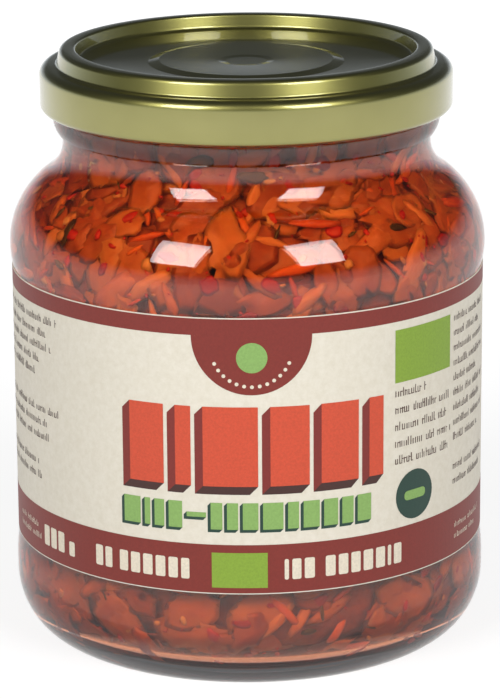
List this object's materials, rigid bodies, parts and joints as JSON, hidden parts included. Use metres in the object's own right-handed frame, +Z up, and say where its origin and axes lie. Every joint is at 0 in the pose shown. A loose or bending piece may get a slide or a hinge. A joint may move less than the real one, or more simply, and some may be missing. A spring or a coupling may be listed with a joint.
{
  "type": "kimchi jar",
  "caption": "Shut glass food jar with a pressed metal lid and a wrap-around paper label, filled with red fermented cabbage.",
  "frame": {"origin": "centre of the ring that the jar stands on", "axes": "+Z up along the jar's axis of turning, -Y towards the middle of the label, +X to the right as the label is read"},
  "size_m": [0.08, 0.08, 0.1005],
  "materials": {
    "glass_jar": "clear, smooth",
    "lid": "gold lacquer, satin",
    "label": "printed paper, matt",
    "kimchi": "wet, glossy food"
  },
  "bodies": {
    "root": {"glass_jar": "glass_jar", "lid": "lid", "label": "label", "kimchi": "kimchi"}
  },
  "joints": []
}
